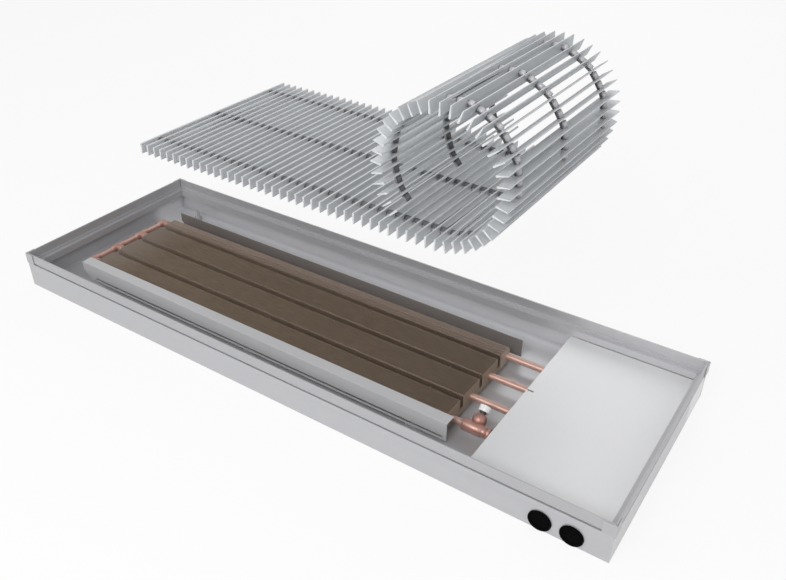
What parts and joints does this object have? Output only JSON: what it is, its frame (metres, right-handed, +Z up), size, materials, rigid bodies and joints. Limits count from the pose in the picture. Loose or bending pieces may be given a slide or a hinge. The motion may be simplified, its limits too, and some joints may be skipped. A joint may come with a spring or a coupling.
{
  "type": "trench convector heater",
  "caption": "Shallow floor trough with a finned copper water coil, rim frame, cover plate over the pipe ends and a roll-up slat grille held above it, partly rolled.",
  "frame": {"origin": "middle of the trough's flat underside", "axes": "+X along the trough towards the pipe end, +Y from the wall with the two pipe holes to the back wall, +Z up"},
  "size_m": [1.013, 0.4558, 0.4266],
  "materials": {
    "tray_steel": "satin, fine grey",
    "frame_aluminium": "satin, natural",
    "fin_metal": "matt dark brown",
    "copper": "drawn copper, slightly dulled",
    "baffle_steel": "matt light grey",
    "back_baffle_steel": "matt dark brown",
    "zinc_steel": "zinc plated",
    "valve_brass": "turned brass",
    "white_cap": "smooth white",
    "grey_cap": "fine matt dark grey",
    "grommet_rubber": "matt black",
    "cover_steel": "matt light grey",
    "slat_aluminium": "satin, anodised",
    "spacer_plastic": "matt grey"
  },
  "bodies": {
    "heater": {"trough": "tray_steel", "rim_front": "frame_aluminium", "rim_back": "frame_aluminium", "rim_left": "frame_aluminium", "rim_right": "frame_aluminium", "rim_clips": "frame_aluminium", "fin_block": "fin_metal", "core_tubes": "copper", "left_header": "copper", "header_fittings": "copper", "front_baffle": "baffle_steel", "back_baffle": "back_baffle_steel", "saddles": "zinc_steel", "saddle_screws": "zinc_steel", "vent_tee": "copper", "vent_valve": "grey_cap", "supply_manifold": "copper", "return_manifold": "copper", "supply_valve": "valve_brass", "return_valve": "valve_brass", "union_nuts": "valve_brass", "grommets": "grommet_rubber", "cover_supports": "zinc_steel", "weld_nuts": "zinc_steel"},
    "cover": {"cover_plate": "cover_steel"},
    "vent_cap_turn": {"vent_cap": "white_cap"},
    "supply_cap_turn": {"supply_cap": "white_cap"},
    "return_cap_turn": {"return_cap": "grey_cap"},
    "grille": {"grille_flat": "slat_aluminium", "grille_flat_links": "spacer_plastic"},
    "leveller_1": {"level_screw_1": "zinc_steel"},
    "leveller_2": {"level_screw_2": "zinc_steel"},
    "leveller_3": {"level_screw_3": "zinc_steel"},
    "leveller_4": {"level_screw_4": "zinc_steel"},
    "roll_1": {"roll_slats_1": "slat_aluminium", "roll_links_1": "spacer_plastic"},
    "roll_2": {"roll_slats_2": "slat_aluminium", "roll_links_2": "spacer_plastic"},
    "roll_3": {"roll_slats_3": "slat_aluminium", "roll_links_3": "spacer_plastic"},
    "roll_4": {"roll_slats_4": "slat_aluminium", "roll_links_4": "spacer_plastic"},
    "roll_5": {"roll_slats_5": "slat_aluminium", "roll_links_5": "spacer_plastic"},
    "roll_6": {"roll_slats_6": "slat_aluminium", "roll_links_6": "spacer_plastic"},
    "roll_7": {"roll_slats_7": "slat_aluminium", "roll_links_7": "spacer_plastic"},
    "roll_8": {"roll_slats_8": "slat_aluminium", "roll_links_8": "spacer_plastic"},
    "roll_9": {"roll_slats_9": "slat_aluminium", "roll_links_9": "spacer_plastic"},
    "roll_10": {"roll_slats_10": "slat_aluminium", "roll_links_10": "spacer_plastic"},
    "roll_11": {"roll_slats_11": "slat_aluminium", "roll_links_11": "spacer_plastic"},
    "roll_12": {"roll_slats_12": "slat_aluminium", "roll_links_12": "spacer_plastic"}
  },
  "joints": [
    {"name": "grille_lift", "type": "slide", "parent": "heater", "child": "grille", "axis": [0.6152, 0.4085, 0.6742], "range_m": [-0.2864, 0]},
    {"name": "cover_lift", "type": "slide", "parent": "heater", "child": "cover", "axis": [0, 0, 1], "range_m": [0, 0.012]},
    {"name": "vent_cap_turn", "type": "hinge", "parent": "heater", "child": "vent_cap_turn", "pos_m": [0.286, -0.0808, 0.017], "axis": [0, 0.8192, 0.5736], "range_deg": [0, 360]},
    {"name": "supply_cap_turn", "type": "hinge", "parent": "heater", "child": "supply_cap_turn", "pos_m": [0.38999, -0.128, 0.015], "axis": [-1, 0, 0], "range_deg": [0, 360]},
    {"name": "return_cap_turn", "type": "hinge", "parent": "heater", "child": "return_cap_turn", "pos_m": [0.485, -0.128, 0.015], "axis": [1, 0, 0], "range_deg": [0, 360]},
    {"name": "leveller_1_turn", "type": "hinge", "parent": "heater", "child": "leveller_1", "pos_m": [-0.43959, -0.144, 0.01], "axis": [0, 0, 1], "continuous": true},
    {"name": "leveller_2_turn", "type": "hinge", "parent": "heater", "child": "leveller_2", "pos_m": [0.43959, -0.144, 0.01], "axis": [0, 0, 1], "continuous": true},
    {"name": "leveller_3_turn", "type": "hinge", "parent": "heater", "child": "leveller_3", "pos_m": [0.43959, 0.144, 0.01], "axis": [0, 0, 1], "continuous": true},
    {"name": "leveller_4_turn", "type": "hinge", "parent": "heater", "child": "leveller_4", "pos_m": [-0.43959, 0.144, 0.01], "axis": [0, 0, 1], "continuous": true},
    {"name": "roll_1_turn", "type": "hinge", "parent": "grille", "child": "roll_1", "pos_m": [0.20251, 0.117, 0.24475], "axis": [0, -1, 0], "range_deg": [-18, 0]},
    {"name": "roll_2_turn", "type": "hinge", "parent": "roll_1", "child": "roll_2", "pos_m": [0.2414, 0.117, 0.25739], "axis": [0, -1, 0], "range_deg": [-27, 0]},
    {"name": "roll_3_turn", "type": "hinge", "parent": "roll_2", "child": "roll_3", "pos_m": [0.27032, 0.117, 0.2863], "axis": [0, -1, 0], "range_deg": [-27, 0]},
    {"name": "roll_4_turn", "type": "hinge", "parent": "roll_3", "child": "roll_4", "pos_m": [0.28296, 0.117, 0.3252], "axis": [0, -1, 0], "range_deg": [-27, 0]},
    {"name": "roll_5_turn", "type": "hinge", "parent": "roll_4", "child": "roll_5", "pos_m": [0.27656, 0.117, 0.36559], "axis": [0, -1, 0], "range_deg": [-27, 0]},
    {"name": "roll_6_turn", "type": "hinge", "parent": "roll_5", "child": "roll_6", "pos_m": [0.25252, 0.117, 0.39868], "axis": [0, -1, 0], "range_deg": [-27, 0]},
    {"name": "roll_7_turn", "type": "hinge", "parent": "roll_6", "child": "roll_7", "pos_m": [0.21609, 0.117, 0.41724], "axis": [0, -1, 0], "range_deg": [-27, 0]},
    {"name": "roll_8_turn", "type": "hinge", "parent": "roll_7", "child": "roll_8", "pos_m": [0.17519, 0.117, 0.41724], "axis": [0, -1, 0], "range_deg": [-27, 0]},
    {"name": "roll_9_turn", "type": "hinge", "parent": "roll_8", "child": "roll_9", "pos_m": [0.13875, 0.117, 0.39868], "axis": [0, -1, 0], "range_deg": [-27, 0]},
    {"name": "roll_10_turn", "type": "hinge", "parent": "roll_9", "child": "roll_10", "pos_m": [0.11471, 0.117, 0.36559], "axis": [0, -1, 0], "range_deg": [-27, 0]},
    {"name": "roll_11_turn", "type": "hinge", "parent": "roll_10", "child": "roll_11", "pos_m": [0.10832, 0.117, 0.3252], "axis": [0, -1, 0], "range_deg": [-27, 0]},
    {"name": "roll_12_turn", "type": "hinge", "parent": "roll_11", "child": "roll_12", "pos_m": [0.12095, 0.117, 0.2863], "axis": [0, -1, 0], "range_deg": [-22.5, 0]}
  ],
  "couplings": [
    {"joint": "roll_2_turn", "follows": "roll_1_turn", "ratio": 1.5},
    {"joint": "roll_3_turn", "follows": "roll_1_turn", "ratio": 1.5},
    {"joint": "roll_4_turn", "follows": "roll_1_turn", "ratio": 1.5},
    {"joint": "roll_5_turn", "follows": "roll_1_turn", "ratio": 1.5},
    {"joint": "roll_6_turn", "follows": "roll_1_turn", "ratio": 1.5},
    {"joint": "roll_7_turn", "follows": "roll_1_turn", "ratio": 1.5},
    {"joint": "roll_8_turn", "follows": "roll_1_turn", "ratio": 1.5},
    {"joint": "roll_9_turn", "follows": "roll_1_turn", "ratio": 1.5},
    {"joint": "roll_10_turn", "follows": "roll_1_turn", "ratio": 1.5},
    {"joint": "roll_11_turn", "follows": "roll_1_turn", "ratio": 1.5},
    {"joint": "roll_12_turn", "follows": "roll_1_turn", "ratio": 1.25}
  ]
}
